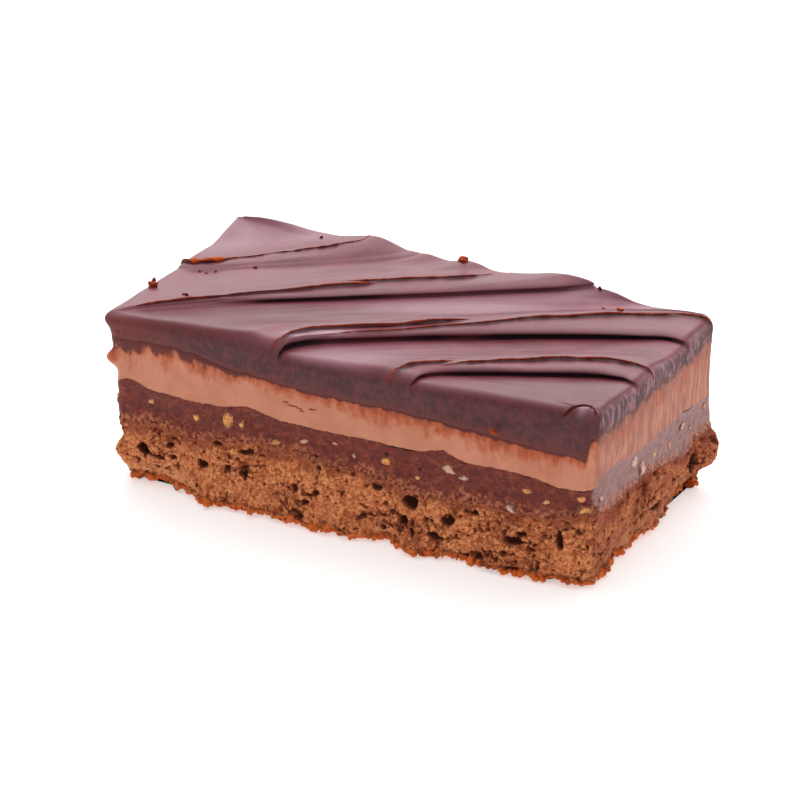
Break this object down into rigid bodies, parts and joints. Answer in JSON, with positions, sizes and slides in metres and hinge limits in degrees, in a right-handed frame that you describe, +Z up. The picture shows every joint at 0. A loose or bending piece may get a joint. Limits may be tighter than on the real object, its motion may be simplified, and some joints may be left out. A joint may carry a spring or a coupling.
{
  "type": "praline cake slice",
  "caption": "Rectangular slice of layered praline cake: chocolate sponge, nutty praline, praline cream and a ganache top spread in slanting folds.",
  "frame": {"origin": "middle of the base that the slice rests on", "axes": "+X along the slice towards the short cut face on the right, +Y from the long front cut face to the back, +Z up through the layers"},
  "size_m": [0.1055, 0.055, 0.038],
  "materials": {
    "sponge": "open porous chocolate crumb, dry and rough",
    "praline": "dense dark praline paste, matte with a faint oily sheen",
    "nut": "cut pale golden nut",
    "cream": "smooth set praline cream, satin",
    "ganache": "set chocolate ganache, satin with a broad soft sheen"
  },
  "bodies": {
    "root": {"sponge": "sponge", "praline": "praline", "cream": "cream", "ganache": "ganache"}
  },
  "joints": []
}
